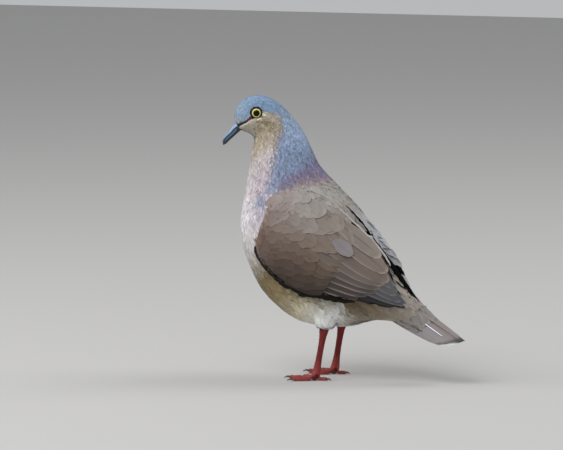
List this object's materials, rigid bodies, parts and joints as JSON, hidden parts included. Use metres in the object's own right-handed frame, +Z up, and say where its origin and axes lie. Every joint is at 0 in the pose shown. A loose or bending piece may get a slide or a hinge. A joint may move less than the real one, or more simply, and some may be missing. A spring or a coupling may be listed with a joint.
{
  "type": "grey-headed dove",
  "caption": "Life-size still model of a grey-headed ground dove standing alert, with folded wings, a lowered folded tail and its head turned slightly to its left.",
  "frame": {"origin": "on the floor, under the middle of the bird's bounding box", "axes": "+X the way the body faces, +Y the bird's left, +Z up"},
  "size_m": [0.1756, 0.0748, 0.1969],
  "materials": {
    "head_plumage": "short smooth feathers, blue-grey on the crown and buff on the face",
    "neck_plumage": "soft feathers, blue-grey behind and pinkish white in front",
    "body_plumage": "soft feathers, olive-brown back, pale breast and creamy belly",
    "wing_plumage": "firm overlapping feathers, warm brown with a mauve cast",
    "flight_feather": "stiff dark grey-brown feathers with paler edges",
    "tail_feather": "stiff grey-brown feathers with white tips",
    "bill_horn": "satin blue-black horn",
    "eye": "wet gloss, pale yellow iris and black pupil",
    "leg_skin": "scaly dark red skin, semi-matt",
    "claw_horn": "satin dark horn"
  },
  "bodies": {
    "root": {"head": "head_plumage", "neck": "neck_plumage", "trunk": "body_plumage", "thigh_left": "body_plumage", "thigh_right": "body_plumage", "wing_left_coverts": "wing_plumage", "wing_left_secondaries": "flight_feather", "wing_left_primaries": "flight_feather", "wing_right_coverts": "wing_plumage", "wing_right_secondaries": "flight_feather", "wing_right_primaries": "flight_feather", "tail_centre": "tail_feather", "tail_left": "tail_feather", "tail_right": "tail_feather", "bill_upper": "bill_horn", "bill_lower": "bill_horn", "eye_left": "eye", "eye_right": "eye", "tarsus_left": "leg_skin", "tarsus_right": "leg_skin", "toe_left_hind": "leg_skin", "toe_left_inner": "leg_skin", "toe_left_middle": "leg_skin", "toe_left_outer": "leg_skin", "toe_right_hind": "leg_skin", "toe_right_inner": "leg_skin", "toe_right_middle": "leg_skin", "toe_right_outer": "leg_skin", "claw_left_hind": "claw_horn", "claw_left_inner": "claw_horn", "claw_left_middle": "claw_horn", "claw_left_outer": "claw_horn", "claw_right_hind": "claw_horn", "claw_right_inner": "claw_horn", "claw_right_middle": "claw_horn", "claw_right_outer": "claw_horn"}
  },
  "joints": []
}
